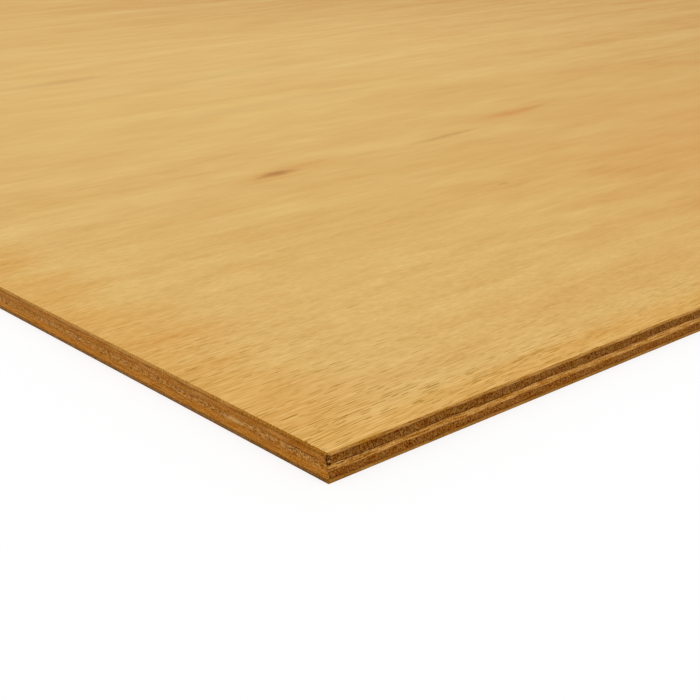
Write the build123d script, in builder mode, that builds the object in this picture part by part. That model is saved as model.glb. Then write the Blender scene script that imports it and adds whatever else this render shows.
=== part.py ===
"""Sheet of five-ply hardwood plywood, lying flat with its better face up.

The sheet is a cross-laminated stack of five veneers, glued face to face and trimmed square.
The grain of the face, core and back veneers runs along X, the long way of the sheet, and the
grain of the two crossbands between them runs along Y.
The origin is at the middle of the underside, with +Z up and X along the sheet. Millimetres.
"""

import os

from build123d import *

# Trimmed size of the sheet
sheet_length = 2440.0
sheet_width = 1220.0

# Thickness of each ply, pressed and sanded
back_veneer_thickness = 1.0
crossband_thickness = 2.5
core_veneer_thickness = 1.9
face_veneer_thickness = 1.1

# Sanding takes this much off the sharp arrises of the two outer faces
arris_ease = 0.2

# Height of each glue line above the underside
lower_crossband_height = back_veneer_thickness
core_veneer_height = lower_crossband_height + crossband_thickness
upper_crossband_height = core_veneer_height + core_veneer_thickness
face_veneer_height = upper_crossband_height + crossband_thickness


def lay_inner_ply(label, height, thickness):
    """A ply between two glue lines, trimmed square on all four edges."""
    with BuildPart() as ply:
        with BuildSketch(Plane.XY.offset(height)):
            Rectangle(sheet_length, sheet_width)
        extrude(amount=thickness)
    ply.part.label = label
    return ply


# Back veneer: the sheet rests on its underside, whose arrises are eased
with BuildPart() as back_veneer:
    with BuildSketch(Plane.XY):
        Rectangle(sheet_length, sheet_width)
    extrude(amount=back_veneer_thickness)
    underside = back_veneer.faces().sort_by(Axis.Z)[0]
    chamfer(underside.edges(), length=arris_ease)
back_veneer.part.label = "back_veneer"

# The three inner plies, each laid with its grain square to its neighbours'
lower_crossband = lay_inner_ply("lower_crossband", lower_crossband_height, crossband_thickness)
core_veneer = lay_inner_ply("core_veneer", core_veneer_height, core_veneer_thickness)
upper_crossband = lay_inner_ply("upper_crossband", upper_crossband_height, crossband_thickness)

# Face veneer: its upper side is the show face, whose arrises are eased
with BuildPart() as face_veneer:
    with BuildSketch(Plane.XY.offset(face_veneer_height)):
        Rectangle(sheet_length, sheet_width)
    extrude(amount=face_veneer_thickness)
    show_face = face_veneer.faces().sort_by(Axis.Z)[-1]
    chamfer(show_face.edges(), length=arris_ease)
face_veneer.part.label = "face_veneer"

# One file for each ply, from the underside up
os.makedirs("parts", exist_ok=True)
for ply in (back_veneer, lower_crossband, core_veneer, upper_crossband, face_veneer):
    export_step(ply.part, f"parts/{ply.part.label}.step")
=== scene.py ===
"""Lays up a sheet of five-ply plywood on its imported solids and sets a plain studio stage.

Each ply is one closed mesh: rows of columns round the sawn outline, and a flat cap above and below.
Neighbouring plies share a wavy glue line, and the saw leaves torn pores, furrows, slits and chips.
Lengths are metres in the sheet's own frame, and MM turns a maker's millimetres into metres.
"""

import math
from collections import namedtuple

import bpy
import numpy as np
from bpy.props import FloatProperty, FloatVectorProperty, IntProperty, PointerProperty
from bpy.types import Operator, Panel, PropertyGroup
from mathutils import Matrix, Vector


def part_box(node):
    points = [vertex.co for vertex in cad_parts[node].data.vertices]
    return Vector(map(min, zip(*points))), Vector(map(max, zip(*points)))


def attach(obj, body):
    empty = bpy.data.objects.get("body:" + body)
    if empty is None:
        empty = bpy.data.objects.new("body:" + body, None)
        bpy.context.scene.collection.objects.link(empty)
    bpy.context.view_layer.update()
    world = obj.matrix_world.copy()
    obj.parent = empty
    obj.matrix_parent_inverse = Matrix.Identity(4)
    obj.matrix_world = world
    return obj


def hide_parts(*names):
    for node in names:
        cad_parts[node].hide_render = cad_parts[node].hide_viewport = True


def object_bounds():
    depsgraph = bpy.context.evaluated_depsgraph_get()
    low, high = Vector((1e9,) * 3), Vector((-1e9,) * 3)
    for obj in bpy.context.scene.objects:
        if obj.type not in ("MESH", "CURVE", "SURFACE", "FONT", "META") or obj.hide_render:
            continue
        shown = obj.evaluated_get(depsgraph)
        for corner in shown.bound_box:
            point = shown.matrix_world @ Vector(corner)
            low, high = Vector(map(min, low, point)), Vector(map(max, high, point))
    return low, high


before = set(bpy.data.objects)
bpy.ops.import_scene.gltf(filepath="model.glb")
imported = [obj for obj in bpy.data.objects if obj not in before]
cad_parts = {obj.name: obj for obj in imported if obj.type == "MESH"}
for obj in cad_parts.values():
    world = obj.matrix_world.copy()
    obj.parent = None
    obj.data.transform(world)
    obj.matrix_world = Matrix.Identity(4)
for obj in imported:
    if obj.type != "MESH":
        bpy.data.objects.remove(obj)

bl_info = {
    "name": "Plywood Sheet",
    "version": (1, 0, 0),
    "blender": (4, 5, 0),
    "location": "3D View > Sidebar > Plywood",
    "description": "Lays up a plywood sheet with figured faces and sawn edges, and lights it",
    "category": "Object",
}

MM = 0.001
CAD_LOW, CAD_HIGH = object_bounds()

# Sides of the outline, anticlockwise from the near corner. The front and rear sides are the long ones.
FRONT, RIGHT, REAR, LEFT = range(4)
LONG_SIDES = (FRONT, REAR)
GRADED_SIDES = (FRONT, LEFT)

# Plies from the underside up, by the names of their solids
PLIES = ("back_veneer", "lower_crossband", "core_veneer", "upper_crossband", "face_veneer")

# Glue lines from the underside up: their share of the full wave, and how far they lie off their level at
# the long and at the short sides, in millimetres
GlueLine = namedtuple("GlueLine", "share long_lift short_lift")
GLUE_LINES = (
    GlueLine(0.5, 0.05, 0.20),
    GlueLine(0.9, -0.28, 0.0),
    GlueLine(1.0, -0.22, 0.15),
    GlueLine(0.35, -0.08, -0.35),
)

# Length of edge beside a corner over which a glue line passes from one lift to the other
CORNER_BLEND = 8 * MM

# Tears that the saw left near the near corner: how far from it, how high and how large, in millimetres.
# A tone above 0 is a hollow, painted dark with its shade, and one below 0 is a pale lifted fibre.
Wound = namedtuple("Wound", "side away height length tall depth tone")
CORNER_WOUNDS = (
    Wound(FRONT, 4.2, 4.72, 3.8, 0.34, 0.45, 1.0),
    Wound(FRONT, 1.6, 4.05, 3.8, 0.30, 0.40, 0.9),
    Wound(FRONT, 13.8, 4.12, 4.2, 0.28, 0.40, 0.9),
    Wound(FRONT, 3.9, 5.22, 4.6, 0.36, 0.02, -0.9),
    Wound(FRONT, 13.0, 4.98, 3.0, 0.50, 0.02, -0.7),
    Wound(FRONT, 0.5, 7.55, 0.7, 0.70, 0.30, 0.5),
    Wound(FRONT, 2.6, 6.50, 0.9, 0.80, 0.30, 0.7),
    Wound(FRONT, 0.5, 5.35, 1.2, 0.80, 0.45, 1.0),
    Wound(FRONT, 0.4, 6.40, 0.6, 0.60, 0.02, -1.0),
    Wound(FRONT, 16.6, 6.70, 0.5, 1.80, 0.30, 0.8),
    Wound(FRONT, 7.6, 4.35, 3.4, 0.26, 0.30, 0.7),
    Wound(FRONT, 9.6, 4.90, 3.0, 0.34, 0.02, -0.6),
    Wound(FRONT, 10.4, 3.75, 4.0, 0.24, 0.25, 0.6),
    Wound(FRONT, 6.4, 3.70, 3.0, 0.30, 0.02, -0.5),
    Wound(FRONT, 19.0, 4.60, 4.5, 0.26, 0.25, 0.6),
    Wound(FRONT, 24.0, 4.95, 6.0, 0.36, 0.02, -0.5),
    Wound(FRONT, 5.0, 8.35, 4.0, 0.30, 0.20, 0.6),
    Wound(FRONT, 14.5, 8.45, 3.6, 0.28, 0.15, 0.5),
    Wound(FRONT, 20.5, 8.55, 5.0, 0.30, 0.20, 0.6),
    Wound(LEFT, 0.7, 6.70, 1.2, 1.40, 0.45, 1.0),
    Wound(LEFT, 0.4, 5.50, 1.2, 1.30, 0.45, 1.0),
    Wound(LEFT, 1.6, 6.90, 0.6, 0.60, 0.30, 0.7),
    Wound(LEFT, 8.0, 5.52, 12.0, 0.30, 0.25, 0.8),
    Wound(LEFT, 41.0, 4.30, 11.0, 1.70, 0.02, -0.6),
    Wound(LEFT, 0.4, 7.80, 1.0, 1.00, 0.35, 0.9),
    Wound(LEFT, 1.3, 6.00, 0.6, 0.60, 0.30, 0.7),
    Wound(LEFT, 2.4, 7.30, 0.5, 0.40, 0.20, 0.6),
    Wound(LEFT, 8.8, 8.80, 1.0, 0.50, 0.20, 1.0),
    Wound(LEFT, 0.6, 2.30, 0.7, 0.60, 0.20, 0.6),
    Wound(FRONT, 0.3, 6.90, 0.5, 0.90, 0.35, 0.8),
    Wound(FRONT, 1.3, 7.10, 0.9, 0.50, 0.02, -0.5),
    Wound(FRONT, 1.0, 2.60, 0.8, 0.60, 0.02, -0.5),
    Wound(FRONT, 0.2, 8.05, 0.5, 0.50, 0.30, 0.8),
    Wound(FRONT, 1.9, 7.55, 0.8, 0.40, 0.20, 0.7),
    Wound(FRONT, 3.4, 7.10, 0.6, 0.70, 0.20, 0.6),
    Wound(FRONT, 0.6, 2.00, 0.6, 0.80, 0.25, 0.7),
)

# A row of open pores in the end of the core veneer, evenly spaced from the first and scattered in height
FIRST_CORE_PORE = Wound(LEFT, 2.5, 4.40, 0.65, 0.50, 0.20, 0.85)
CORE_PORE_COUNT = 14
CORE_PORE_SPACING = 1.05
CORE_PORE_SCATTER = 0.8
GOLDEN_SHARE = 0.618
CORE_PORES = tuple(
    FIRST_CORE_PORE._replace(
        away=FIRST_CORE_PORE.away + CORE_PORE_SPACING * step,
        height=FIRST_CORE_PORE.height + CORE_PORE_SCATTER * (GOLDEN_SHARE * step % 1),
    )
    for step in range(CORE_PORE_COUNT)
)

# Chance tears all round the sheet, in millimetres: how long and tall they are along the grain and in end
# grain, how deep hollows go and how deep lifted fibres lie. They keep off the ends of a side.
TearRange = namedtuple("TearRange", "length tall")
SLITS = TearRange((1.5, 6.0), (0.2, 0.3))
PITS = TearRange((0.4, 0.9), (0.4, 0.9))
TEAR_PLACES = (0.01, 0.99)
TEAR_DEPTHS = (0.1, 0.3)
FIBRE_DEPTH = 0.02
TEAR_TONES = (0.8, 0.6, -0.5)

# Depth from which a chip out of an arris takes its full painted shade, and how dark that shade is
DARK_CHIP = 0.3 * MM
CHIP_TONE = 0.45

# Chips out of the upper arris near the near corner, in millimetres
Chip = namedtuple("Chip", "side away length depth")
CORNER_CHIPS = (
    Chip(FRONT, 16.0, 4.5, 0.12),
    Chip(FRONT, 21.5, 6.0, 0.16),
    Chip(FRONT, 47.0, 9.0, 0.15),
    Chip(LEFT, 8.8, 1.2, 0.30),
    Chip(LEFT, 6.4, 1.0, 0.08),
    Chip(LEFT, 2.6, 0.9, 0.10),
)

# Chance chips all round the sheet, along the grain of the face and across it, in millimetres
ChipRange = namedtuple("ChipRange", "spacing length depth")
LONG_CHIPS = ChipRange(40, (2, 9), (0.05, 0.25))
SHORT_CHIPS = ChipRange(20, (0.5, 1.4), (0.03, 0.14))

# Marks in the face veneer: place from the near corner, length, width and lean, in millimetres and degrees
Mark = namedtuple("Mark", "along across length width lean strength")
PALE_MARKS = (
    Mark(380, 570, 1300, 660, 8, 0.8),
    Mark(170, 345, 460, 220, 8, 0.7),
)
BLUSH_MARKS = (
    Mark(440, 140, 660, 380, 18, 0.48),
    Mark(4, 125, 150, 30, 88, 0.50),
    Mark(186, 257, 110, 30, 8, 0.65),
    Mark(387, 281, 120, 26, 9, 0.40),
    Mark(375, 281, 64, 18, 4, 0.75),
    Mark(65, 108, 26, 12, 5, 0.40),
)
STAIN_MARKS = (
    Mark(270, 408, 420, 26, 4, 0.16),
    Mark(360, 537, 460, 34, 12, 0.18),
    Mark(245, 590, 130, 30, 4, 0.36),
    Mark(302, 260, 76, 9, 6, 0.58),
    Mark(406, 285, 46, 9, 9, 0.35),
    Mark(244, 163, 13, 7, 8, 0.45),
    Mark(52, 282, 9, 4, 5, 0.30),
    Mark(21.5, 0.7, 8, 1.1, 1, 0.60),
    Mark(15.5, 0.5, 5, 0.9, 1, 0.50),
    Mark(34, 22, 5, 1.2, 2, 0.60),
    Mark(66, 14, 6, 1.2, 2, 0.60),
    Mark(78, 80.5, 10, 1.4, 5, 0.60),
    Mark(48, 69, 17, 1.0, -32, 0.55),
    Mark(12, 101, 17, 1.4, -40, 0.40),
)
MINERAL_MARKS = (Mark(181, 255, 36, 12, 5, 0.66),)


# Curve between the display values of a picture, from 0 to 255, and the linear values that shaders take
WHITE = 255
GAMMA = 2.4
LIFT = 0.055
STRAIGHT_END = 0.04045
STRAIGHT_SLOPE = 12.92


def paint(red, green, blue):
    """A colour mixed in display values, as linear values."""
    shares = (value / WHITE for value in (red, green, blue))
    return tuple(
        share / STRAIGHT_SLOPE if share <= STRAIGHT_END else ((share + LIFT) / (1 + LIFT)) ** GAMMA
        for share in shares
    )


def tint(colour, steps):
    """Change of a colour's linear values for a rise of its display values by these steps."""
    slope = GAMMA / (1 + LIFT) / WHITE
    return tuple(step * slope * value ** (1 - 1 / GAMMA) for value, step in zip(colour, steps))


# Steps in which the wood grows lighter: alike in all channels over single fibres, and less in red than in
# the others over wisps and patches
FIBRE_STEP = (0.9, 1.0, 1.1)
WISP_STEP = (0.72, 1.0, 0.97)
PATCH_STEP = (0.5, 1.0, 0.95)


def colour_property(name, description, red, green, blue):
    return FloatVectorProperty(
        name=name,
        description=description,
        subtype="COLOR",
        default=paint(red, green, blue),
        min=0.0,
        max=1.0,
    )


def length_property(name, description, millimetres):
    return FloatProperty(
        name=name,
        description=description,
        default=millimetres * MM,
        min=0.0,
        unit="LENGTH",
        precision=5,
    )


def angle_property(name, description, degrees):
    return FloatProperty(
        name=name,
        description=description,
        default=math.radians(degrees),
        subtype="ANGLE",
    )


class PlywoodSizes(PropertyGroup):
    """Sizes of the sawn edges and of the mesh that carries them."""

    fine_column: length_property("Finest column", "Width of a mesh column at the near corner", 0.25)
    wide_column: length_property("Widest column", "Width of a mesh column far from the near corner", 2.5)
    column_growth: FloatProperty(
        name="Column growth",
        description="How much a column widens for each unit of distance from the near corner",
        default=0.0015,
        min=0.0,
    )
    row: length_property("Row", "Height of a mesh row on a sawn edge", 0.2)
    field_cell: length_property("Field cell", "Width of a mesh cell on the open face", 20.0)
    arris: length_property("Arris", "How much sanding takes off the sharp edges of the face", 0.1)
    under_arris: length_property("Underside arris", "How much sanding takes off the edges of the back", 0.04)
    blunting: length_property("Corner blunting", "How far the upright corners are worn back", 0.06)
    glue_wave: length_property("Glue wave", "How far a glue line strays from level", 0.22)
    glue_wave_length: length_property("Glue wave length", "Distance between the bends of a glue line", 14.0)
    pore_depth: length_property("Pore depth", "How deep the saw tears end grain", 0.12)
    pore_pitch: length_property("Pore pitch", "Distance between torn pores on end grain", 0.65)
    furrow_depth: length_property("Furrow depth", "How deep furrows run along a sawn veneer", 0.06)
    furrow_length: length_property("Furrow length", "Length of a furrow along a sawn veneer", 14.0)
    furrow_pitch: length_property("Furrow pitch", "Distance between furrows on a sawn veneer", 0.35)
    wound_spacing: length_property("Tear spacing", "Distance between chance tears along a ply", 30.0)
    seed: IntProperty(name="Seed", description="Picks where chance tears and chips fall", default=7, min=0)


class PlywoodColours(PropertyGroup):
    """Colours of the veneers, as they look in plain light."""

    face: colour_property("Face", "Golden ground of the face veneer", 218, 176, 104)
    face_pale: colour_property("Face, pale", "Straw-coloured bands of the face veneer", 223, 184, 114)
    face_border: colour_property("Face border", "Face veneer along the sawn edges", 216, 166, 89)
    face_deep: colour_property("Face, deep", "Face veneer away from the near end", 205, 160, 91)
    pore: colour_property("Pores", "Open pores of the face veneer", 154, 108, 6)
    blush: colour_property("Blush", "Reddish patches of the face veneer", 210, 152, 83)
    stain: colour_property("Stain", "Brown lines and spots of the face veneer", 186, 138, 74)
    mineral: colour_property("Mineral streak", "Dark mineral streak of the face veneer", 150, 84, 20)
    # Under the back veneer, where no glue lies, the glue colour also paints the contact shadow and dirt
    # along the floor
    glue: colour_property("Glue line", "Wood soaked with glue at a glue line", 102, 52, 6)
    # The dark colour inside tears, open pores of end grain and chips is painted shade of the hollow
    hollow: colour_property("Hollow", "Inside of a tear", 66, 32, 6)
    fibre: colour_property("Fibre", "Lifted fibres beside a tear", 226, 180, 112)
    amber: colour_property("Amber", "Orange patches of the sawn edges", 190, 118, 34)
    mauve: colour_property("Mauve", "Greyish patches of the sawn edges", 152, 104, 56)
    face_edge: colour_property("Face veneer edge", "Face veneer sawn along its grain", 194, 138, 66)
    face_end: colour_property("Face veneer end", "Face veneer sawn across its grain", 193, 137, 62)
    upper_edge: colour_property("Upper crossband edge", "Upper crossband along its grain", 177, 115, 45)
    upper_end: colour_property("Upper crossband end", "Upper crossband across its grain", 130, 81, 24)
    core_edge: colour_property("Core edge", "Core veneer sawn along its grain", 200, 142, 68)
    core_end: colour_property("Core end", "Core veneer sawn across its grain", 180, 123, 55)
    lower_edge: colour_property("Lower crossband edge", "Lower crossband along its grain", 190, 124, 44)
    lower_end: colour_property("Lower crossband end", "Lower crossband across its grain", 141, 86, 25)
    back: colour_property("Back", "Ground of the back veneer", 196, 148, 84)
    back_deep: colour_property("Back, deep", "Back veneer away from the near end", 186, 138, 76)
    back_edge: colour_property("Back veneer edge", "Back veneer sawn along its grain", 176, 122, 50)
    back_end: colour_property("Back veneer end", "Back veneer sawn across its grain", 146, 102, 48)


class PlywoodStage(PropertyGroup):
    """Camera, lights and floor."""

    eye: FloatVectorProperty(
        name="Eye",
        description="Place of the camera, from the near corner of the underside",
        default=(-177.6 * MM, -216.94 * MM, 146.8 * MM),
        subtype="TRANSLATION",
        unit="LENGTH",
    )
    azimuth: angle_property("Azimuth", "Turn of the view about the upright, from a view along +Y", -40.552)
    elevation: angle_property("Elevation", "How far the view looks down", 21.386)
    roll: angle_property("Roll", "Lean of the camera about its line of sight", -0.96)
    lens: FloatProperty(
        name="Lens",
        description="Focal length on a 36 mm sensor",
        default=62.873,
        subtype="DISTANCE_CAMERA",
    )
    key: FloatProperty(name="Key light", description="Strength of the overhead light", default=1.6, min=0.0)
    key_spread: angle_property("Key spread", "How wide the overhead light is, seen from the sheet", 70.0)
    key_tilt: angle_property("Key tilt", "Lean of the overhead light towards the near corner", 15.0)
    fill: FloatProperty(
        name="Fill light",
        description="Strength of the even light all round",
        default=0.5,
        min=0.0,
    )
    floor: colour_property("Floor", "Pale studio floor", 240, 240, 240)
    shadow: FloatProperty(
        name="Shadow",
        description="How much of the floor's own shading shows in the picture",
        default=0.35,
        min=0.0,
        max=1.0,
        subtype="FACTOR",
    )


class Value:
    """A node's output. Arithmetic on it adds Math nodes to its finish."""

    def __init__(self, finish, socket):
        self.finish = finish
        self.socket = socket

    def math(self, operation, *operands):
        return self.finish.node("ShaderNodeMath", {"operation": operation}, dict(enumerate(operands)))

    def __add__(self, other):
        return self.math("ADD", self, other)

    def __radd__(self, other):
        return self.math("ADD", other, self)

    def __sub__(self, other):
        return self.math("SUBTRACT", self, other)

    def __rsub__(self, other):
        return self.math("SUBTRACT", other, self)

    def __mul__(self, other):
        return self.math("MULTIPLY", self, other)

    def __rmul__(self, other):
        return self.math("MULTIPLY", other, self)

    def at_most(self, other):
        return self.math("MINIMUM", self, other)

    def at_least(self, other):
        return self.math("MAXIMUM", self, other)

    def floor(self):
        return self.math("FLOOR", self)

    def absolute(self):
        return self.math("ABSOLUTE", self)

    def ramp(self, start, end):
        """0 at start and 1 at end, with a smooth rise between them."""
        low, high, first, last = (start, end, 0.0, 1.0) if start < end else (end, start, 1.0, 0.0)
        limits = {"Value": self, "From Min": low, "From Max": high, "To Min": first, "To Max": last}
        return self.finish.node("ShaderNodeMapRange", {"interpolation_type": "SMOOTHSTEP"}, limits)


class Finish:
    """The nodes of a material or of the world."""

    SEED_SHIFT = (13.7, 5.3, 7.1)

    def __init__(self, owner):
        owner.use_nodes = True
        self.owner = owner
        self.tree = owner.node_tree
        self.tree.nodes.clear()

    def node(self, kind, settings=None, inputs=None, output=0):
        """A node of a kind, with its settings made first and then its sockets filled or linked."""
        node = self.tree.nodes.new(kind)
        for name, setting in (settings or {}).items():
            setattr(node, name, setting)
        for name, value in (inputs or {}).items():
            if isinstance(value, Value):
                self.tree.links.new(value.socket, node.inputs[name])
            else:
                node.inputs[name].default_value = value
        return Value(self, node.outputs[output]) if node.outputs else None

    def vector_math(self, operation, *operands, output="Vector"):
        return self.node("ShaderNodeVectorMath", {"operation": operation}, dict(enumerate(operands)), output)

    def scaled(self, vector, share):
        return self.node("ShaderNodeVectorMath", {"operation": "SCALE"}, {0: vector, "Scale": share})

    def place(self):
        """Millimetres from the near corner of the underside."""
        here = self.node("ShaderNodeTexCoord", output="Object")
        from_corner = self.vector_math("SUBTRACT", here, tuple(CAD_LOW))
        return self.scaled(from_corner, 1 / MM)

    def attribute(self, name):
        return self.node("ShaderNodeAttribute", {"attribute_name": name}, output="Fac")

    def noise(self, place, cell, detail=2.0, seed=0):
        """Soft chance values about 0.5, whose blots have the sizes in cell along each axis."""
        cells = self.vector_math("MULTIPLY", place, tuple(1 / size for size in cell))
        moved = self.vector_math("ADD", cells, tuple(seed * shift for shift in self.SEED_SHIFT))
        return self.node("ShaderNodeTexNoise", {}, {"Vector": moved, "Scale": 1.0, "Detail": detail})

    def parts(self, kind, whole, *names):
        """Parts of a vector or of a colour."""
        return tuple(self.node(kind, {}, {0: whole}, output=name) for name in names)

    def chance(self, column, row, seed, output="Value"):
        """Chance values that are the same all over a cell of a grid."""
        cell = self.node("ShaderNodeCombineXYZ", {}, {"X": column, "Y": row, "Z": seed})
        return self.node("ShaderNodeTexWhiteNoise", {"noise_dimensions": "3D"}, {"Vector": cell}, output)

    def mix(self, first, second, share):
        sockets = {"Factor": share, 6: as_rgba(first), 7: as_rgba(second)}
        return self.node("ShaderNodeMix", {"data_type": "RGBA"}, sockets, output=2)

    def tinted(self, colour, change, steps):
        """A colour moved by a number of steps of a change."""
        moved = self.vector_math("MULTIPLY_ADD", steps, change, as_rgb(colour))
        return self.vector_math("MAXIMUM", moved, (0.0, 0.0, 0.0))

    def bump(self, height, depth):
        return self.node("ShaderNodeBump", {}, {"Height": height, "Distance": depth})

    def wood(self, colour, roughness, normal, shine):
        """Closes a wood finish and returns its material."""
        sockets = {
            "Base Color": colour,
            "Roughness": roughness,
            "Normal": normal,
            "Specular IOR Level": shine,
        }
        shader = self.node("ShaderNodeBsdfPrincipled", {}, sockets)
        self.node("ShaderNodeOutputMaterial", {}, {"Surface": shader})
        return self.owner

    def looked_at(self):
        """1 for rays that the camera sends, straight or by a mirror or glass, and 0 for those that light."""
        straight, glossy, clear = (
            self.node("ShaderNodeLightPath", output=name)
            for name in ("Is Camera Ray", "Is Glossy Ray", "Is Transmission Ray")
        )
        return straight.at_least(glossy).at_least(clear)


def as_rgba(colour):
    return colour if isinstance(colour, Value) else (*colour, 1.0)


def as_rgb(colour):
    return colour if isinstance(colour, Value) else tuple(colour)


# Height of a noise cell for figure that is the same all through a veneer, in millimetres
THROUGH = 50.0

# Lean of the face grain from the sheet's length, and how far it wanders and how large its bends are, in
# millimetres
GRAIN_LEAN = math.radians(2.5)
GRAIN_WANDER = 20.0
WANDER_CELL = (400, 180, THROUGH)

# Range of the torn attribute over which a tear takes on its painted shade, and a fibre its pale lifted
# colour
HOLLOW_TONES = (0.1, 0.9)
LIFTED_TONES = (-0.1, -0.9)


def turned(finish, place, angle, centre=(0.0, 0.0, 0.0)):
    """A place turned about the upright through a centre."""
    sockets = {"Vector": place, "Center": centre, "Angle": angle}
    return finish.node("ShaderNodeVectorRotate", {"rotation_type": "Z_AXIS"}, sockets)


def grain_flow(finish, place):
    """Place along and across the fibres, which lean a little from the sheet's length and wander."""
    drift = finish.noise(place, WANDER_CELL, detail=1.0, seed=9)
    across = finish.node("ShaderNodeCombineXYZ", {}, {"Y": GRAIN_WANDER * (drift - 0.5)})
    return finish.vector_math("ADD", turned(finish, place, -GRAIN_LEAN), across)


def inset(finish, place):
    """Millimetres to the nearer end of the sheet and to the nearer long side."""
    along, across = finish.parts("ShaderNodeSeparateXYZ", place, "X", "Y")
    length, width = ((high - low) / MM for low, high in zip(CAD_LOW.xy, CAD_HIGH.xy))
    return along.at_most(length - along), across.at_most(width - across)


# Growth lines: their spacing, how many spacings they bend by, how large a bend is, and the cell in which one
# keeps its tone, in millimetres along it and in spacings across it
RING_SPACING = 26
RING_BEND = 7.0
BEND_CELL = (900, 240, THROUGH)
RING_CELL = (2200, 1, 1)


def growth_lines(finish, flow):
    """Uneven lines along the grain, as chance values about 0.5, that bend as growth rings do."""
    along, across = finish.parts("ShaderNodeSeparateXYZ", flow, "X", "Y")
    bend = finish.noise(flow, BEND_CELL, detail=1.0, seed=15)
    ring = across * (1 / RING_SPACING) + RING_BEND * bend
    rings = finish.node("ShaderNodeCombineXYZ", {}, {"X": along, "Y": ring})
    return finish.noise(rings, RING_CELL, seed=16)


# Dashes along the grain: the width of their rows, the length of the stretches that hold one each and their
# own width in millimetres, the share of stretches that hold one, their strength and their seed
Dash = namedtuple("Dash", "row length width share strength seed")
FAINT_PORES = Dash(0.9, 9.0, 0.34, 0.7, 1.6, 31)
DARK_PORES = Dash(1.7, 7.0, 0.36, 0.40, 2.0, 41)
PALE_FIBRES = Dash(1.2, 8.0, 0.45, 0.7, 12.0, 51)
TICKS = Dash(7.0, 16.0, 0.9, 0.3, 0.12, 61)

# How many stretches a row is shifted by at most, the share of a row's width over which dashes scatter, the
# share of its length that a dash may lose, and where its sides and ends begin to soften
ROW_SHIFT = 9.0
DASH_SCATTER = 0.7
DASH_LOSS = 0.7
SOFT_SIDES = (1.0, 0.3)
SOFT_ENDS = (1.0, 0.6)


def dashes(finish, flow, dash):
    """Thin dashes along the grain, one at most in each stretch of a row. Strong ones are rare."""
    along, across = finish.parts("ShaderNodeSeparateXYZ", flow, "X", "Y")
    lane = across * (1 / dash.row)
    lane_number = lane.floor()
    stretch = along * (1 / dash.length) + ROW_SHIFT * finish.chance(0.0, lane_number, dash.seed)
    stretch_number = stretch.floor()
    dice = finish.chance(stretch_number, lane_number, dash.seed + 1, "Color")
    presence, offset, shortening = finish.parts("ShaderNodeSeparateColor", dice, "Red", "Green", "Blue")
    middle = lane - lane_number - DASH_SCATTER * offset - (1 - DASH_SCATTER) / 2
    sideways = middle.absolute() * (2 * dash.row / dash.width)
    lengthways = 2.0 * (stretch - stretch_number - 0.5).absolute() + DASH_LOSS * shortening
    mask = presence.ramp(1.0 - dash.share, 1.0) * sideways.ramp(*SOFT_SIDES) * lengthways.ramp(*SOFT_ENDS)
    return dash.strength * mask


# How ragged the outline of a mark is, and the size of its rags
RAGGEDNESS = 0.8
RAG_CELL = (9, 1.5, THROUGH)


def mark_mask(finish, place, mark):
    """Soft ragged mask of one spindle-shaped mark."""
    centre = (mark.along, mark.across, 0.0)
    offset = finish.vector_math("SUBTRACT", turned(finish, place, -math.radians(mark.lean), centre), centre)
    scaled = finish.vector_math("MULTIPLY", offset, (2 / mark.length, 2 / mark.width, 0.0))
    distance = finish.vector_math("LENGTH", scaled, output="Value")
    ragged = distance + RAGGEDNESS * (finish.noise(place, RAG_CELL, seed=4) - 0.5)
    return mark.strength * ragged.ramp(1.0, 0.0)


# Tones of a broad face: its ground, its paler bands, its border and the deeper tone of its far part
Tones = namedtuple("Tones", "ground pale border deep")

# Sizes of the blots of a broad face along and across its grain, in millimetres
TONE_CELL = (900, 160, THROUGH)
PATCH_CELL = (220, 40, THROUGH)
CLOUD_CELL = (52, 12, THROUGH)
WISP_CELL = (26, 5, THROUGH)
FIBRE_CELL = (3, 1.5, THROUGH)
HAIR_CELL = (9, 0.40, THROUGH)
CLUSTER_CELL = (70, 18, THROUGH)

# Display steps from the darkest to the lightest blots
PATCH_STEPS = 19.0
CLOUD_STEPS = 21.0
LINE_STEPS = 4.0
FAR_LINE_STEPS = 34.0
WISP_STEPS = 6.0
NEAR_WISP_STEPS = 14.0
FIBRE_STEPS = 26.0
HAIR_STEPS = 94.0

# Where the noise turns to paler bands and how strong they are, where it turns to clusters of pores, and how
# strong pores are everywhere and how much stronger in a cluster
PALE_BANDS = (0.50, 0.64)
PALE_SHARE = 0.5
CLUSTERS = (0.34, 0.60)
SPREAD_SHARE = 0.55
CLUSTER_SHARE = 0.45

# Stretches over which the face changes, from none to all of the change: away from its near end, and towards
# its nearest corner, end and side, in millimetres. Clouds shift the tan border at the ends.
AFAR = (150, 950)
CLOSE_BY = (700, 250)
END_TAN = (42, 4)
SIDE_TAN = (17, 5)
TAN_SHIFT = 30.0

# Zones of a change that isn't a whole one: how much it is, and the stretch over which it comes in
Zone = namedtuple("Zone", "amount start end")
OPEN_END = Zone(0.20, 60, 0)
OPEN_SIDE = Zone(0.34, 40, 0)
OPEN_CORNER = Zone(0.34, 180, 30)
RAISED_CORNER = Zone(0.88, 420, 100)
SANDED_CORNER = Zone(0.60, 110, 30)
CALM_CORNER = Zone(0.55, 190, 30)
# Painted sheen: the face is painted up to 4 display steps lighter towards the near corner
PAINTED_SHEEN_CORNER = Zone(4.0, 300, 60)

# How open and how raised the grain is everywhere, and how much more it is close by
OPEN_GRAIN = 0.03
OPEN_CLOSE_BY = 0.09
RAISED_GRAIN = 0.04
RAISED_CLOSE_BY = 0.08

FACE_SHINE = 0.03
FACE_ROUGHNESS = 0.6
PORE_ROUGHNESS = 0.2
FACE_RELIEF = 0.015 * MM


def zoned(distance, zone):
    """How much of a zone's change there is at a distance."""
    return zone.amount * distance.ramp(zone.start, zone.end)


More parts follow.
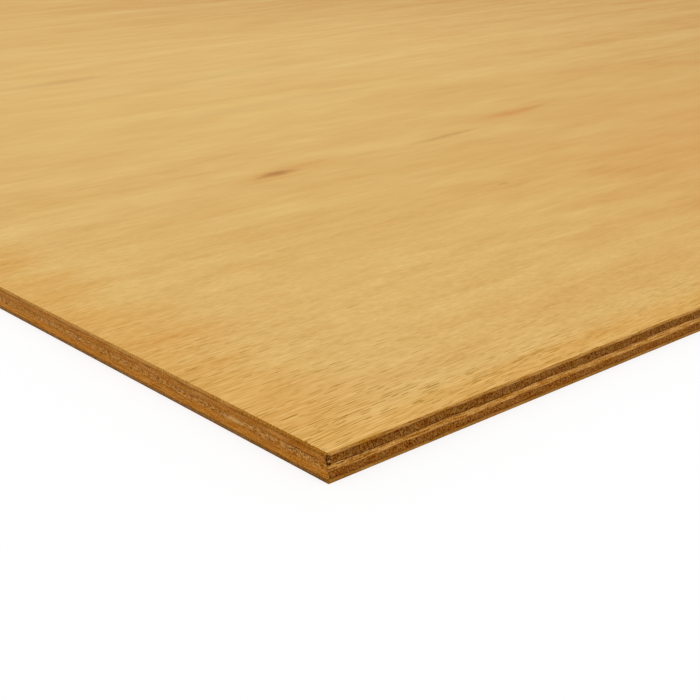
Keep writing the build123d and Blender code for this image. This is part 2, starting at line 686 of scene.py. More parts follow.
def figured_face(name, tones, colours, marks):
    """Sanded veneer seen on its broad face: soft bands and growth lines, fibres, pores and marks."""
    finish = Finish(bpy.data.materials.new(name))
    place = finish.place()
    flow = grain_flow(finish, place)
    tone = finish.noise(flow, TONE_CELL, seed=1)
    patch = finish.noise(flow, PATCH_CELL, seed=17)
    cloud = finish.noise(flow, CLOUD_CELL, detail=1.0, seed=2)
    wisp = finish.noise(flow, WISP_CELL, detail=1.0, seed=18)
    fibre = finish.noise(flow, FIBRE_CELL, detail=1.0, seed=3)
    hair = finish.noise(flow, HAIR_CELL, detail=1.0, seed=14)

    from_end, from_side = inset(finish, place)
    from_near_end = finish.node("ShaderNodeSeparateXYZ", {}, {0: place}, output="X")
    afar = from_near_end.ramp(*AFAR)
    from_tan = from_end + TAN_SHIFT * (cloud - 0.5)
    tanned = from_tan.ramp(*END_TAN).at_least(from_side.ramp(*SIDE_TAN))
    near_edge = zoned(from_end, OPEN_END) + zoned(from_side, OPEN_SIDE)
    from_corner = from_end + from_side
    close_by = from_corner.ramp(*CLOSE_BY)
    open_grain = OPEN_GRAIN + OPEN_CLOSE_BY * close_by + near_edge + zoned(from_corner, OPEN_CORNER)
    lifted = RAISED_GRAIN + RAISED_CLOSE_BY * close_by + zoned(from_corner, RAISED_CORNER)
    raised_grain = lifted - zoned(from_corner, SANDED_CORNER)
    clusters = finish.noise(flow, CLUSTER_CELL, detail=1.0, seed=5).ramp(*CLUSTERS)
    crowding = SPREAD_SHARE + CLUSTER_SHARE * clusters
    faint, dark, tick, pale = (
        dashes(finish, flow, dash) for dash in (FAINT_PORES, DARK_PORES, TICKS, PALE_FIBRES)
    )
    pore = (open_grain * crowding * (faint + dark) + close_by * tick).at_most(1.0)

    colour = finish.mix(tones.ground, tones.pale, PALE_SHARE * tone.ramp(*PALE_BANDS))
    colour = finish.mix(colour, tones.deep, afar)
    for paint_colour, group in marks:
        for mark in group:
            colour = finish.mix(colour, paint_colour, mark_mask(finish, place, mark))
    colour = finish.mix(colour, tones.border, tanned)
    calm = 1.0 - zoned(from_corner, CALM_CORNER)
    lines = (LINE_STEPS + FAR_LINE_STEPS * afar) * (growth_lines(finish, flow) - 0.5)
    patches = PATCH_STEPS * (patch - 0.5) + CLOUD_STEPS * calm * (cloud - 0.5) + lines
    colour = finish.tinted(colour, tint(tones.ground, PATCH_STEP), patches)
    wisps = (WISP_STEPS + NEAR_WISP_STEPS * close_by) * calm * (wisp - 0.5)
    colour = finish.tinted(colour, tint(tones.ground, WISP_STEP), wisps)
    # A painted sheen lightens the face near the corner, and raised fibres vary its tone
    fuzz = zoned(from_corner, PAINTED_SHEEN_CORNER) + FIBRE_STEPS * raised_grain * (fibre - 0.5)
    fibres = fuzz + open_grain * (HAIR_STEPS * (hair - 0.5) + pale)
    colour = finish.tinted(colour, tint(tones.ground, FIBRE_STEP), fibres)
    colour = finish.mix(colour, colours.pore, pore)
    # Painted shade in chips of the arris, through the torn attribute
    colour = finish.mix(colour, colours.hollow, finish.attribute("torn").ramp(*HOLLOW_TONES))
    normal = finish.bump(open_grain * hair - pore, FACE_RELIEF)
    return finish.wood(colour, FACE_ROUGHNESS + PORE_ROUGHNESS * pore, normal, FACE_SHINE)


# A sawn edge of a ply: its ground colour, the sizes of its flecks and of its clouds in millimetres, the
# display steps of its flecks and of its specks, the share of amber and mauve in its clouds, how glue darkens
# it below and above (below the back veneer, where no glue lies, this is painted contact shadow and dirt
# along the floor), and the display steps by which it is darker at a corner
EdgeLook = namedtuple("EdgeLook", "ground fleck cloud contrast fuzz amber mauve glue_below glue_above worn")
LONG_FLECK = (9.0, 9.0, 0.34)
LONG_CLOUD = (16.0, 16.0, 0.9)
END_FLECK = (0.5, 0.5, 0.9)
END_CLOUD = (6.0, 6.0, 1.6)
CORE_FLECK = (1.8, 1.8, 0.55)

# Sizes of the specks of an edge, of the bends of its glue and of the gaps in it, in millimetres
SPECK = (0.42, 0.42, 0.4)
STRAY_CELL = (2.4, 2.4, THROUGH)
GAP_CELL = (6, 6, THROUGH)

# Where the noise turns to flecks, to amber, to mauve and to unbroken glue, and the glue that a gap keeps
FLECKS = (0.34, 0.66)
AMBER_CLOUDS = (0.45, 0.65)
MAUVE_CLOUDS = (0.52, 0.34)
UNBROKEN_GLUE = (0.34, 0.58)
GAP_GLUE = 0.2

# How far glue soaks in (and how far the painted contact shadow along the floor reaches), how far that strays
# and how near a corner an edge is worn, in millimetres, and the display steps of the grime
GLUE_REACH = (0.46, 0.04)
GLUE_STRAY = 0.5
WORN_REACH = (70, 5)
GRIME = 38.0

EDGE_SHINE = 0.03
EDGE_ROUGHNESS = 0.8
FLECK_GLOSS = 0.1
EDGE_RELIEF = 0.08 * MM
SPECK_RELIEF = 0.5
LIFTED_SHARE = 0.8

# The noise of each ply has seeds of its own, from the first one up
FIRST_SEED = 20
SEEDS_EACH = 10


def sawn_edge(ply, cut, look, colours):
    """Veneer seen on a sawn edge: flecks along or across its grain, dark glue lines and the painted contact
    shadow along the floor, tears with painted shade, and fibres.
    """
    finish = Finish(bpy.data.materials.new(f"{ply}_{cut}"))
    seed = FIRST_SEED + SEEDS_EACH * PLIES.index(ply)
    low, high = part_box(ply)
    thickness = (high.z - low.z) / MM
    place = finish.place()
    rise = finish.attribute("rise")
    torn = finish.attribute("torn")
    along, across = finish.parts("ShaderNodeSeparateXYZ", place, "X", "Y")
    within = finish.node("ShaderNodeCombineXYZ", {}, {"X": along, "Y": across, "Z": rise * thickness})
    fleck = finish.noise(within, look.fleck, detail=1.0, seed=seed).ramp(*FLECKS)
    speck = finish.noise(within, SPECK, detail=1.0, seed=seed + 1).ramp(*FLECKS)
    cloud = finish.noise(within, look.cloud, seed=seed + 2)
    hue = finish.noise(within, look.cloud, seed=seed + 3)
    stray = GLUE_STRAY * (finish.noise(within, STRAY_CELL, seed=seed + 4) - 0.5)
    unbroken = finish.noise(within, GAP_CELL, seed=seed + 5).ramp(*UNBROKEN_GLUE)
    kept = GAP_GLUE + (1 - GAP_GLUE) * unbroken

    colour = finish.mix(look.ground, colours.amber, look.amber * hue.ramp(*AMBER_CLOUDS))
    colour = finish.mix(colour, colours.mauve, look.mauve * hue.ramp(*MAUVE_CLOUDS))
    from_end, from_side = inset(finish, place)
    grime = GRIME * (cloud - 0.5) - look.worn * (from_end + from_side).ramp(*WORN_REACH)
    steps = look.contrast * (fleck - 0.5) + look.fuzz * (speck - 0.5) + grime
    colour = finish.tinted(colour, tint(look.ground, FIBRE_STEP), steps)
    # On the back veneer no glue lies below: there the darkening below is painted contact shadow and dirt
    # along the floor
    below = look.glue_below * (rise * thickness + stray).ramp(*GLUE_REACH)
    above = look.glue_above * ((1.0 - rise) * thickness + stray).ramp(*GLUE_REACH)
    colour = finish.mix(colour, colours.glue, kept * below.at_least(above))
    # Painted shade inside tears and open pores, then the pale colour of lifted fibres
    colour = finish.mix(colour, colours.hollow, torn.ramp(*HOLLOW_TONES))
    colour = finish.mix(colour, colours.fibre, LIFTED_SHARE * torn.ramp(*LIFTED_TONES))
    normal = finish.bump(fleck + SPECK_RELIEF * speck, EDGE_RELIEF)
    return finish.wood(colour, EDGE_ROUGHNESS - FLECK_GLOSS * fleck, normal, EDGE_SHINE)


def smooth(share):
    return share * share * (3 - 2 * share)


class Grit:
    """Seeded chance values from 0 to 1 that vary smoothly over a plane of unit cells."""

    CELLS = 512

    def __init__(self, seed):
        self.table = np.random.default_rng(seed).random((self.CELLS, self.CELLS))

    def at(self, along, up):
        column, row = np.floor(along).astype(int), np.floor(up).astype(int)
        right, high = smooth(along - column), smooth(up - row)

        def corner(step_along, step_up):
            return self.table[(column + step_along) % self.CELLS, (row + step_up) % self.CELLS]

        lower = corner(0, 0) * (1 - right) + corner(1, 0) * right
        upper = corner(0, 1) * (1 - right) + corner(1, 1) * right
        return lower * (1 - high) + upper * high


class Outline:
    """The sawn outline of the sheet in mesh columns, anticlockwise from the near corner."""

    CORNERS = 4

    # How far from a corner its two sides set in together: a least length, and a multiple of the depth
    LEAST_REACH = 2 * MM
    REACH_FOR_DEPTH = 4

    def __init__(self, sizes):
        self.sizes = sizes
        low, high = CAD_LOW, CAD_HIGH
        self.corners = np.array([(low.x, low.y), (high.x, low.y), (high.x, high.y), (low.x, high.y)])
        ahead = np.roll(self.corners, -1, axis=0) - self.corners
        self.lengths = np.linalg.norm(ahead, axis=1)
        self.along = ahead / self.lengths[:, None]
        self.inward = np.column_stack([-self.along[:, 1], self.along[:, 0]])
        runs = [self.columns(side) for side in range(self.CORNERS)]
        self.side = np.repeat(range(self.CORNERS), [len(run) for run in runs])
        self.run = np.concatenate(runs)
        self.turn = self.side + self.run / self.lengths[self.side]
        self.distance = self.run + np.concatenate([[0], np.cumsum(self.lengths)])[self.side]

    def columns(self, side):
        """Where columns stand along one side, from its first corner up to its last."""
        length = self.lengths[side]
        if side not in GRADED_SIDES:
            return np.arange(0, 1, self.sizes.wide_column / length) * length
        stops = [0.0]
        while stops[-1] < length:
            width = self.sizes.fine_column + self.sizes.column_growth * stops[-1]
            stops.append(stops[-1] + min(width, self.sizes.wide_column))
        stops = np.array(stops) * length / stops[-1]
        return stops[:-1] if side == FRONT else (length - stops[::-1])[:-1]

    def corner_share(self, reach):
        """How near each column is to the first and to the last corner of its side, 1 at the corner."""
        first = np.clip(1 - self.run / reach, 0, 1)
        last = np.clip(1 - (self.lengths[self.side] - self.run) / reach, 0, 1)
        return first, last

    def points(self, depth, height):
        """Places of all columns, set in by a depth and at a height. Near a corner both sides set in."""
        reach = max(self.LEAST_REACH, self.REACH_FOR_DEPTH * float(np.max(depth)))
        first, last = self.corner_share(reach)
        shift = (first - last) * depth
        plan = self.corners[self.side] + self.along[self.side] * (self.run + shift)[:, None]
        plan = plan + self.inward[self.side] * np.broadcast_to(depth, self.run.shape)[:, None]
        return np.column_stack([plan, np.broadcast_to(height, self.run.shape)])

    def run_of(self, side, away):
        """Distance along a side of a place that far from the near corner."""
        return away if side == FRONT else self.lengths[side] - away

    def ripple(self, spacing, seed):
        """A wave round the outline between -1 and 1, with a bend at every spacing and no seam."""
        total = self.lengths.sum()
        knots = np.random.default_rng(seed).uniform(-1, 1, round(total / spacing))
        place = self.distance / total * len(knots)
        knot = np.floor(place).astype(int)
        share = smooth(place - knot)
        return knots[knot % len(knots)] * (1 - share) + knots[(knot + 1) % len(knots)] * share


class Layup:
    """Heights of the glue lines and the tears and chips of the sawn edges, shared by all plies."""

    # A glue line's wave and the smaller ripples on it, with the numbers from which their seeds count up
    WAVE_SEED = 40
    RIPPLE_SEED = 50
    RIPPLES_IN_WAVE = 5
    RIPPLE_SHARE = 0.4

    # Grit of the arris, and how near an upright corner is worn back
    GRIT_DEPTH = 0.05 * MM
    GRIT_PITCH = 1.5 * MM
    BLUNT_REACH = 0.6 * MM

    def __init__(self, sizes):
        self.sizes = sizes
        self.outline = Outline(sizes)
        self.grit = Grit(sizes.seed)
        self.levels = [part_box(ply)[0].z for ply in PLIES] + [CAD_HIGH.z]
        self.lines = [self.glue_line(index) for index in range(len(self.levels))]
        self.wounds = [*self.corner_wounds(), *self.chance_wounds()]
        self.chips = self.arris_chips()

    def glue_line(self, index):
        """Height of a glue line at each column. The two outer faces are level."""
        level = np.full(self.outline.run.shape, self.levels[index])
        if index in (0, len(PLIES)):
            return level
        spacing = self.sizes.glue_wave_length
        wave = self.outline.ripple(spacing, self.WAVE_SEED + index)
        ripple = self.outline.ripple(spacing / self.RIPPLES_IN_WAVE, self.RIPPLE_SEED + index)
        wave = wave + self.RIPPLE_SHARE * ripple
        line = GLUE_LINES[index - 1]
        middle, half = (line.long_lift + line.short_lift) / 2, (line.long_lift - line.short_lift) / 2
        first, last = self.outline.corner_share(CORNER_BLEND)
        on_long = np.isin(self.outline.side, LONG_SIDES)
        off_level = middle + np.where(on_long, half, -half) * (1 - smooth(np.maximum(first, last)))
        return level + off_level * MM + self.sizes.glue_wave * line.share * wave

    def corner_wounds(self):
        for wound in (*CORNER_WOUNDS, *CORE_PORES):
            yield wound._replace(away=self.outline.run_of(wound.side, wound.away * MM) / MM)

    def chance_wounds(self):
        """Slits along the grain and pits in end grain, scattered along every ply on every side."""
        chance = np.random.default_rng(self.sizes.seed)
        for side, length in enumerate(self.outline.lengths):
            for ply in range(len(PLIES)):
                kind = PITS if is_end_grain(PLIES[ply], side) else SLITS
                for place in chance.uniform(*TEAR_PLACES, round(length / self.sizes.wound_spacing)):
                    height = chance.uniform(self.levels[ply], self.levels[ply + 1]) / MM
                    long = chance.uniform(*kind.length)
                    tall = chance.uniform(*kind.tall)
                    tone = chance.choice(TEAR_TONES)
                    depth = chance.uniform(*TEAR_DEPTHS) if tone > 0 else FIBRE_DEPTH
                    yield Wound(side, place * length / MM, height, long, tall, depth, tone)

    def arris_chips(self):
        """How much is chipped off the upper arris at each column."""
        outline = self.outline
        chance = np.random.default_rng(self.sizes.seed + 1)
        chips = [chip._replace(away=outline.run_of(chip.side, chip.away * MM) / MM) for chip in CORNER_CHIPS]
        for side, length in enumerate(outline.lengths):
            kind = LONG_CHIPS if side in LONG_SIDES else SHORT_CHIPS
            for place in chance.uniform(0.0, 1.0, round(length / (kind.spacing * MM))):
                long = chance.uniform(*kind.length)
                deep = chance.uniform(*kind.depth)
                chips.append(Chip(side, place * length / MM, long, deep))
        grit = self.grit.at(outline.distance / self.GRIT_PITCH, np.zeros(outline.run.shape))
        depth = self.GRIT_DEPTH * grit
        for chip in chips:
            reach = (outline.run / MM - chip.away) / (chip.length / 2)
            cut = chip.depth * MM * np.clip(1 - reach**2, 0, 1) * (outline.side == chip.side)
            depth = np.maximum(depth, cut)
        return depth

    def tears(self, height):
        """Depth and tone of the tears at each column, at a height that follows the ply."""
        depth = np.zeros(height.shape)
        tone = np.zeros(height.shape)
        for wound in self.wounds:
            near = np.abs(self.outline.run / MM - wound.away) < wound.length / 2
            near = np.flatnonzero(near & (self.outline.side == wound.side))
            sideways = (self.outline.run[near] / MM - wound.away) / (wound.length / 2)
            upwards = (height[near] / MM - wound.height) / (wound.tall / 2)
            share = np.sqrt(np.clip(1 - sideways**2 - upwards**2, 0, 1))
            depth[near] = np.maximum(depth[near], wound.depth * MM * share)
            deeper = np.abs(wound.tone) * share > np.abs(tone[near])
            tone[near] = np.where(deeper, wound.tone * share, tone[near])
        return depth, tone

    def sawn_depth(self, ply, height):
        """How far the saw's tearing sets the edge of a ply back at each column."""
        sizes, distance = self.sizes, self.outline.distance
        pores = self.grit.at(distance / sizes.pore_pitch, height / sizes.pore_pitch)
        furrows = self.grit.at(distance / sizes.furrow_length, height / sizes.furrow_pitch)
        ends = np.array([is_end_grain(ply, side) for side in range(Outline.CORNERS)])[self.outline.side]
        first, last = self.outline.corner_share(self.BLUNT_REACH)
        worn = sizes.blunting * (first + last) ** 2
        return worn + np.where(ends, sizes.pore_depth * pores, sizes.furrow_depth * furrows)


def is_end_grain(ply, side):
    """True where a side cuts across the grain, which runs lengthwise in all plies but the crossbands."""
    return ("crossband" in ply) == (side in LONG_SIDES)


class PlyMesh:
    """Skins a ply ring by ring, from the middle of its underside round the edge to the middle of its top."""

    # Slots of the finishes: sawn along the grain, sawn across it, and the broad face
    LONG, END, BROAD = range(3)

    # Rings of a broad face: how far in from the arris the first lies, and from the sawn edge the others
    FIRST_RING = 0.4 * MM
    SECOND_RING = 1.6 * MM
    RIM = 3 * MM

    # Share of the upper chips that the underside has too, and the angle from which an edge looks sharp
    UNDER_CHIPS = 0.1
    SHARP_ANGLE = math.radians(35)

    def __init__(self, layup, ply):
        self.layup = layup
        self.outline = layup.outline
        self.ply = ply
        self.index = PLIES.index(ply)
        self.points, self.rises, self.tones = [], [], []
        self.faces, self.looks = [], []
        self.count = 0
        ends = [is_end_grain(ply, side) for side in range(Outline.CORNERS)]
        self.edge_looks = np.where(ends, self.END, self.LONG)[self.outline.side]

    def ring(self, points, rise, tone=0.0):
        self.points.append(points)
        self.rises.append(np.full(len(points), rise))
        self.tones.append(np.broadcast_to(tone, len(points)))
        self.count += len(points)
        return np.arange(self.count - len(points), self.count)

    def add_faces(self, faces, looks):
        self.faces.extend(faces.tolist() if isinstance(faces, np.ndarray) else faces)
        self.looks.extend(np.broadcast_to(looks, len(faces)).tolist())

    def band(self, lower, upper, looks):
        """Four-sided faces between two rings of equal columns."""
        quads = np.column_stack([lower, np.roll(lower, -1), np.roll(upper, -1), upper])
        self.add_faces(quads, looks)

    def zip_rings(self, lower, lower_turns, upper, upper_turns, looks):
        """Triangles between two rings of unlike columns, stepped round in the order of their turns."""
        lower_next = np.append(lower_turns[1:], Outline.CORNERS)
        upper_next = np.append(upper_turns[1:], Outline.CORNERS)
        low, high, faces = 0, 0, []
        while low < len(lower) or high < len(upper):
            here, there = lower[low % len(lower)], upper[high % len(upper)]
            step_low = high == len(upper) or (low < len(lower) and lower_next[low] <= upper_next[high])
            if step_low:
                low += 1
                faces.append((here, lower[low % len(lower)], there))
            else:
                high += 1
                faces.append((here, upper[high % len(upper)], there))
        self.add_faces(faces, looks)

    def field(self, height):
        """Grid of the broad face inside the rim. Gives its points, its cells and its boundary in order."""
        cell = self.layup.sizes.field_cell
        xs, ys = (
            np.linspace(low + cell, high - cell, round((high - low) / cell) - 1)
            for low, high in zip(CAD_LOW.xy, CAD_HIGH.xy)
        )
        ids = np.arange(len(xs) * len(ys)).reshape(len(ys), len(xs))
        x, y = np.meshgrid(xs, ys)
        points = np.column_stack([x.ravel(), y.ravel(), np.full(x.size, height)])
        cells = np.stack([ids[:-1, :-1], ids[:-1, 1:], ids[1:, 1:], ids[1:, :-1]], axis=-1).reshape(-1, 4)
        edge = [ids[0, :-1], ids[:-1, -1], ids[-1, :0:-1], ids[:0:-1, 0]]
        turns = [side + np.arange(len(run)) / len(run) for side, run in enumerate(edge)]
        return points, cells, np.concatenate(edge), np.concatenate(turns)

    def cap(self, rim, height, upward, open_face):
        """Closes the ply inside its rim: a grid where it is open to view, and one face where it is glued."""
        points, cells, edge, turns = self.field(height)
        look = self.BROAD if open_face else self.LONG
        if open_face:
            inner = self.ring(points, 1.0 if upward else 0.0)
            faces = inner[cells]
            edge = inner[edge]
        else:
            edge = self.ring(points[edge], 1.0 if upward else 0.0)
            faces = edge[None, :]
        self.add_faces(faces if upward else faces[:, ::-1], look)
        rings = ((rim, self.outline.turn), (edge, turns))
        (lower, lower_turns), (upper, upper_turns) = rings if upward else rings[::-1]
        self.zip_rings(lower, lower_turns, upper, upper_turns, look)

    def edge_row(self, low, high, rise):
        """One row of the sawn edge, at a share of the way up between two heights."""
        height = low + (high - low) * rise
        torn, tone = self.layup.tears(height)
        depth = self.layup.sawn_depth(self.ply, height) + torn
        return self.ring(self.outline.points(depth, height), rise, tone)

    def open_rings(self, height, arris, rise):
        """Rings of an open face from its eased arris to its rim, outermost first. Deep chips get painted
        shade.
        """
        tone = CHIP_TONE * np.clip((arris - self.layup.sizes.arris) / DARK_CHIP, 0, 1)
        outer = self.ring(self.outline.points(arris, height), rise, tone)
        straight = (np.full(arris.shape, depth) for depth in (self.SECOND_RING, self.RIM))
        depths = (arris + self.FIRST_RING, *straight)
        return [outer, *(self.ring(self.outline.points(depth, height), rise) for depth in depths)]

    def build(self):
        layup, sizes = self.layup, self.layup.sizes
        low, high = layup.lines[self.index], layup.lines[self.index + 1]
        bottom, top = layup.levels[self.index], layup.levels[self.index + 1]
        open_below, open_above = self.index == 0, self.index == len(PLIES) - 1
        arris_below = sizes.under_arris + self.UNDER_CHIPS * layup.chips
        arris_above = sizes.arris + layup.chips
        if open_below:
            low = low + arris_below
            under = self.open_rings(bottom, arris_below, 0.0)[::-1]
        else:
            under = [self.ring(self.outline.points(self.RIM, bottom), 0.0)]
        self.cap(under[0], bottom, False, open_below)
        for inner, outer in zip(under, under[1:]):
            self.band(inner, outer, self.BROAD)

        if open_above:
            high = high - arris_above
        rows = round((top - bottom) / sizes.row) + 1
        wall = [self.edge_row(low, high, rise) for rise in np.linspace(0, 1, rows)]
        for lower, upper in zip([under[-1], *wall], wall):
            self.band(lower, upper, self.edge_looks)

        if open_above:
            over = self.open_rings(top, arris_above, 1.0)
        else:
            over = [self.ring(self.outline.points(self.RIM, top), 1.0)]
        self.band(wall[-1], over[0], self.BROAD if open_above else self.edge_looks)
        for outer, inner in zip(over, over[1:]):
            self.band(outer, inner, self.BROAD)
        self.cap(over[-1], top, True, open_above)
        return self.mesh()

    def mesh(self):
        mesh = bpy.data.meshes.new(f"{self.ply}_ply")
        mesh.from_pydata(np.concatenate(self.points).tolist(), [], self.faces)
        mesh.polygons.foreach_set("material_index", self.looks)
        for name, values in (("rise", self.rises), ("torn", self.tones)):
            layer = mesh.attributes.new(name, "FLOAT", "POINT")
            layer.data.foreach_set("value", np.concatenate(values).astype(np.float32))
        mesh.shade_smooth()
        mesh.set_sharp_from_angle(angle=self.SHARP_ANGLE)
        if mesh.validate():
            raise RuntimeError(f"the mesh of {self.ply} has faulty faces")
        mesh.update()
        return mesh


_layups = {}


def shared_layup(context):
    """The lay-up of this scene, worked out once for all its plies."""
    key = context.scene.name
    if key not in _layups:
        _layups[key] = Layup(context.scene.plywood_sizes)
    return _layups[key]


def lay_ply(context, ply, materials):
    """Builds a ply on its solid, dresses it and puts it on the sheet's body."""
    mesh = PlyMesh(shared_layup(context), ply).build()
    for material in materials:
        mesh.materials.append(material)
    piece = bpy.data.objects.new(f"{ply}_ply", mesh)
    context.scene.collection.objects.link(piece)
    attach(piece, "root")
    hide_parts(ply)
    return piece


def edge_materials(ply, colours, along, across):
    """Finishes of a ply's sawn edges, along its grain and across it."""
    return (
        sawn_edge(ply, "sawn_along_grain", along, colours),
        sawn_edge(ply, "sawn_across_grain", across, colours),
    )


class PLYWOOD_OT_lay_back_veneer(Operator):
    """Lay the back veneer, with its sanded underside and sawn edges"""

    bl_idname = "plywood.lay_back_veneer"
    bl_label = "Lay Back Veneer"

    def execute(self, context):
        colours = context.scene.plywood_colours
        # Below the back veneer no glue lies: its darkening there is painted contact shadow and dirt along
        # the floor
        along = EdgeLook(
            colours.back_edge, LONG_FLECK, LONG_CLOUD, contrast=18, fuzz=22, amber=0.0, mauve=0.1,
            glue_below=0.4, glue_above=0.55, worn=6,
        )
        across = EdgeLook(
            colours.back_end, END_FLECK, END_CLOUD, contrast=22, fuzz=20, amber=0.0, mauve=0.1,
            glue_below=0.7, glue_above=0.2, worn=6,
        )
        tones = Tones(colours.back, colours.face, colours.back_deep, colours.back_deep)
        materials = (
            *edge_materials("back_veneer", colours, along, across),
            figured_face("sanded_back", tones, colours, ()),
        )
        lay_ply(context, "back_veneer", materials)
        return {"FINISHED"}


class PLYWOOD_OT_lay_crossbands(Operator):
    """Lay the two crossbands, whose grain runs across the sheet"""

    bl_idname = "plywood.lay_crossbands"
    bl_label = "Lay Crossbands"

    def execute(self, context):
        colours = context.scene.plywood_colours
        bands = {
            "lower_crossband": (
                EdgeLook(
                    colours.lower_edge, LONG_FLECK, LONG_CLOUD, contrast=24, fuzz=30, amber=0.6, mauve=0.2,
                    glue_below=0.25, glue_above=0.1, worn=2,
                ),
                EdgeLook(
                    colours.lower_end, END_FLECK, END_CLOUD, contrast=26, fuzz=54, amber=0.2, mauve=0.2,
                    glue_below=0.75, glue_above=0.2, worn=0,
                ),
            ),
            "upper_crossband": (
                EdgeLook(
                    colours.upper_edge, LONG_FLECK, LONG_CLOUD, contrast=24, fuzz=34, amber=0.3, mauve=0.3,
                    glue_below=0.4, glue_above=0.7, worn=3,
                ),
                EdgeLook(
                    colours.upper_end, END_FLECK, END_CLOUD, contrast=26, fuzz=52, amber=0.15, mauve=0.25,
                    glue_below=0.85, glue_above=0.4, worn=3,
                ),
            ),
        }
        for ply, (along, across) in bands.items():
            lay_ply(context, ply, edge_materials(ply, colours, along, across))
        return {"FINISHED"}


class PLYWOOD_OT_lay_core_veneer(Operator):
    """Lay the core veneer between the crossbands"""

    bl_idname = "plywood.lay_core_veneer"
    bl_label = "Lay Core Veneer"

    def execute(self, context):
        colours = context.scene.plywood_colours
        along = EdgeLook(
            colours.core_edge, LONG_FLECK, LONG_CLOUD, contrast=54, fuzz=38, amber=0.2, mauve=0.0,
            glue_below=0.5, glue_above=0.35, worn=2,
        )
        across = EdgeLook(
            colours.core_end, CORE_FLECK, END_CLOUD, contrast=36, fuzz=36, amber=0.2, mauve=0.4,
            glue_below=0.05, glue_above=0.3, worn=0,
        )
        materials = edge_materials("core_veneer", colours, along, across)
        lay_ply(context, "core_veneer", materials)
        return {"FINISHED"}


class PLYWOOD_OT_lay_face_veneer(Operator):
    """Lay the face veneer, with its figured show face and sawn edges"""

    bl_idname = "plywood.lay_face_veneer"
    bl_label = "Lay Face Veneer"

    def execute(self, context):
        colours = context.scene.plywood_colours
        along = EdgeLook(
            colours.face_edge, LONG_FLECK, LONG_CLOUD, contrast=44, fuzz=26, amber=0.1, mauve=0.0,
            glue_below=0.5, glue_above=0.0, worn=12,
        )
        across = EdgeLook(
            colours.face_end, END_FLECK, END_CLOUD, contrast=22, fuzz=22, amber=0.1, mauve=0.05,
            glue_below=0.4, glue_above=0.0, worn=22,
        )
        tones = Tones(colours.face, colours.face_pale, colours.face_border, colours.face_deep)
        marks = (
            (colours.face_pale, PALE_MARKS),
            (colours.blush, BLUSH_MARKS),
            (colours.stain, STAIN_MARKS),
            (colours.mineral, MINERAL_MARKS),
        )
        materials = (
            *edge_materials("face_veneer", colours, along, across),
            figured_face("figured_face", tones, colours, marks),
        )
        lay_ply(context, "face_veneer", materials)
        return {"FINISHED"}


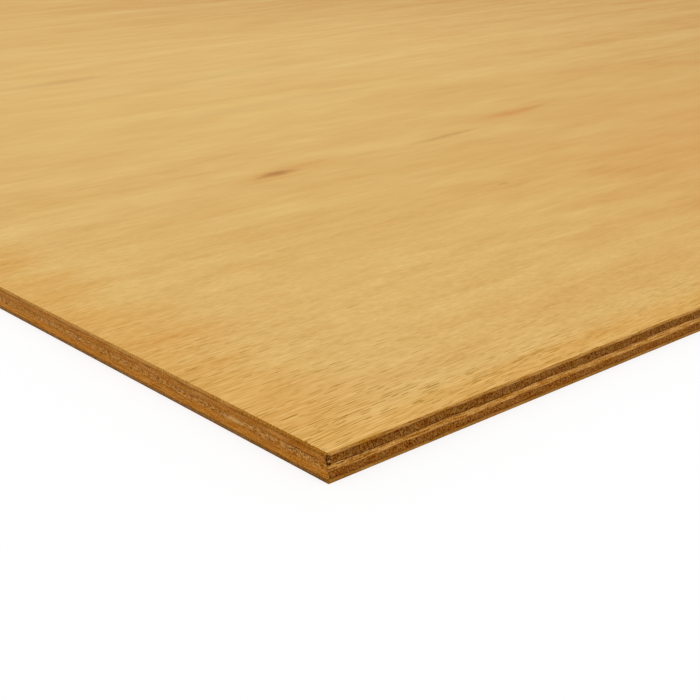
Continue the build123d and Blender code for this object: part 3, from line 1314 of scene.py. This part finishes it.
class PLYWOOD_OT_set_stage(Operator):
    """Set the floor, the soft light and the camera"""

    bl_idname = "plywood.set_stage"
    bl_label = "Set Stage"

    FLOOR_REACH = 30.0
    FLOOR_DROP = 0.02 * MM
    FLOOR_LAP = 2 * MM
    FLOOR_GLOW = 1.08
    CLIP_START = 0.01

    def execute(self, context):
        stage = context.scene.plywood_stage
        self.lay_floor(context, stage)
        self.light(context, stage)
        self.place_camera(context, stage)
        context.scene.view_settings.view_transform = "Standard"
        return {"FINISHED"}

    def lay_floor(self, context, stage):
        """Lays a wide floor that laps under the sheet and is open below it, to show the underside."""
        lap = Vector((self.FLOOR_LAP, self.FLOOR_LAP))
        reach = Vector((self.FLOOR_REACH, self.FLOOR_REACH))
        corners = [
            (x, y, -self.FLOOR_DROP)
            for low, high in ((-reach, reach), (CAD_LOW.xy + lap, CAD_HIGH.xy - lap))
            for x, y in ((low.x, low.y), (high.x, low.y), (high.x, high.y), (low.x, high.y))
        ]
        mesh = bpy.data.meshes.new("studio_floor")
        mesh.from_pydata(corners, [], [(0, 1, 5, 4), (1, 2, 6, 5), (2, 3, 7, 6), (3, 0, 4, 7)])
        mesh.materials.append(self.floor_finish(stage))
        floor = bpy.data.objects.new("studio_floor", mesh)
        context.scene.collection.objects.link(floor)

    def floor_finish(self, stage):
        """A pale floor that looks white, apart from the sheet's shadow, and is clear from below."""
        finish = Finish(bpy.data.materials.new("studio_floor"))
        matt = finish.node("ShaderNodeBsdfDiffuse", {}, {"Color": as_rgba(stage.floor)})
        white = finish.node("ShaderNodeEmission", {}, {"Strength": self.FLOOR_GLOW})
        share = finish.looked_at() * (1.0 - stage.shadow)
        above = finish.node("ShaderNodeMixShader", {}, {0: share, 1: matt, 2: white})
        below = finish.node("ShaderNodeBsdfTransparent")
        is_below = finish.node("ShaderNodeNewGeometry", output="Backfacing")
        shader = finish.node("ShaderNodeMixShader", {}, {0: is_below, 1: above, 2: below})
        finish.node("ShaderNodeOutputMaterial", {}, {"Surface": shader})
        return finish.owner

    def light(self, context, stage):
        world = bpy.data.worlds.new("studio")
        finish = Finish(world)
        strength = stage.fill + (1.0 - stage.fill) * finish.looked_at()
        sky = finish.node("ShaderNodeBackground", {}, {"Color": (1.0, 1.0, 1.0, 1.0), "Strength": strength})
        finish.node("ShaderNodeOutputWorld", {}, {"Surface": sky})
        context.scene.world = world
        lamp = bpy.data.lights.new("overhead", "SUN")
        lamp.energy = stage.key
        lamp.angle = stage.key_spread
        overhead = bpy.data.objects.new("overhead", lamp)
        lean = Vector((-math.sin(stage.key_tilt), -math.sin(stage.key_tilt), math.cos(stage.key_tilt)))
        overhead.rotation_euler = lean.to_track_quat("Z", "Y").to_euler()
        context.scene.collection.objects.link(overhead)

    def place_camera(self, context, stage):
        turn, drop = stage.azimuth, stage.elevation
        back = Vector((math.sin(turn) * math.cos(drop), -math.cos(turn) * math.cos(drop), math.sin(drop)))
        right = Vector((0, 0, 1)).cross(back).normalized()
        up = back.cross(right)
        axes = Matrix((right, up, back)).transposed() @ Matrix.Rotation(stage.roll, 3, "Z")
        camera = bpy.data.objects.new("camera", bpy.data.cameras.new("camera"))
        camera.matrix_world = Matrix.Translation(CAD_LOW + Vector(stage.eye)) @ axes.to_4x4()
        camera.data.lens = stage.lens
        camera.data.clip_start = self.CLIP_START
        context.scene.collection.objects.link(camera)
        context.scene.camera = camera


class PLYWOOD_PT_sheet(Panel):
    """Lists the steps of the sheet and what they can be given"""

    bl_label = "Plywood Sheet"
    bl_space_type = "VIEW_3D"
    bl_region_type = "UI"
    bl_category = "Plywood"

    def draw(self, context):
        layout = self.layout
        for operator in OPERATORS:
            layout.operator(operator.bl_idname)
        scene = context.scene
        for group in (scene.plywood_sizes, scene.plywood_colours, scene.plywood_stage):
            box = layout.box()
            for name in group.bl_rna.properties.keys():
                if name not in ("rna_type", "name"):
                    box.prop(group, name)


GROUPS = {
    "plywood_sizes": PlywoodSizes,
    "plywood_colours": PlywoodColours,
    "plywood_stage": PlywoodStage,
}
OPERATORS = (
    PLYWOOD_OT_lay_back_veneer,
    PLYWOOD_OT_lay_crossbands,
    PLYWOOD_OT_lay_core_veneer,
    PLYWOOD_OT_lay_face_veneer,
    PLYWOOD_OT_set_stage,
)


def register():
    for cls in (*GROUPS.values(), *OPERATORS, PLYWOOD_PT_sheet):
        bpy.utils.register_class(cls)
    for name, group in GROUPS.items():
        setattr(bpy.types.Scene, name, PointerProperty(type=group))


def unregister():
    for name in GROUPS:
        delattr(bpy.types.Scene, name)
    for cls in (PLYWOOD_PT_sheet, *reversed(OPERATORS), *GROUPS.values()):
        bpy.utils.unregister_class(cls)


def main():
    register()
    bpy.ops.plywood.lay_back_veneer()
    bpy.ops.plywood.lay_crossbands()
    bpy.ops.plywood.lay_core_veneer()
    bpy.ops.plywood.lay_face_veneer()
    bpy.ops.plywood.set_stage()


if __name__ == "__main__":
    main()
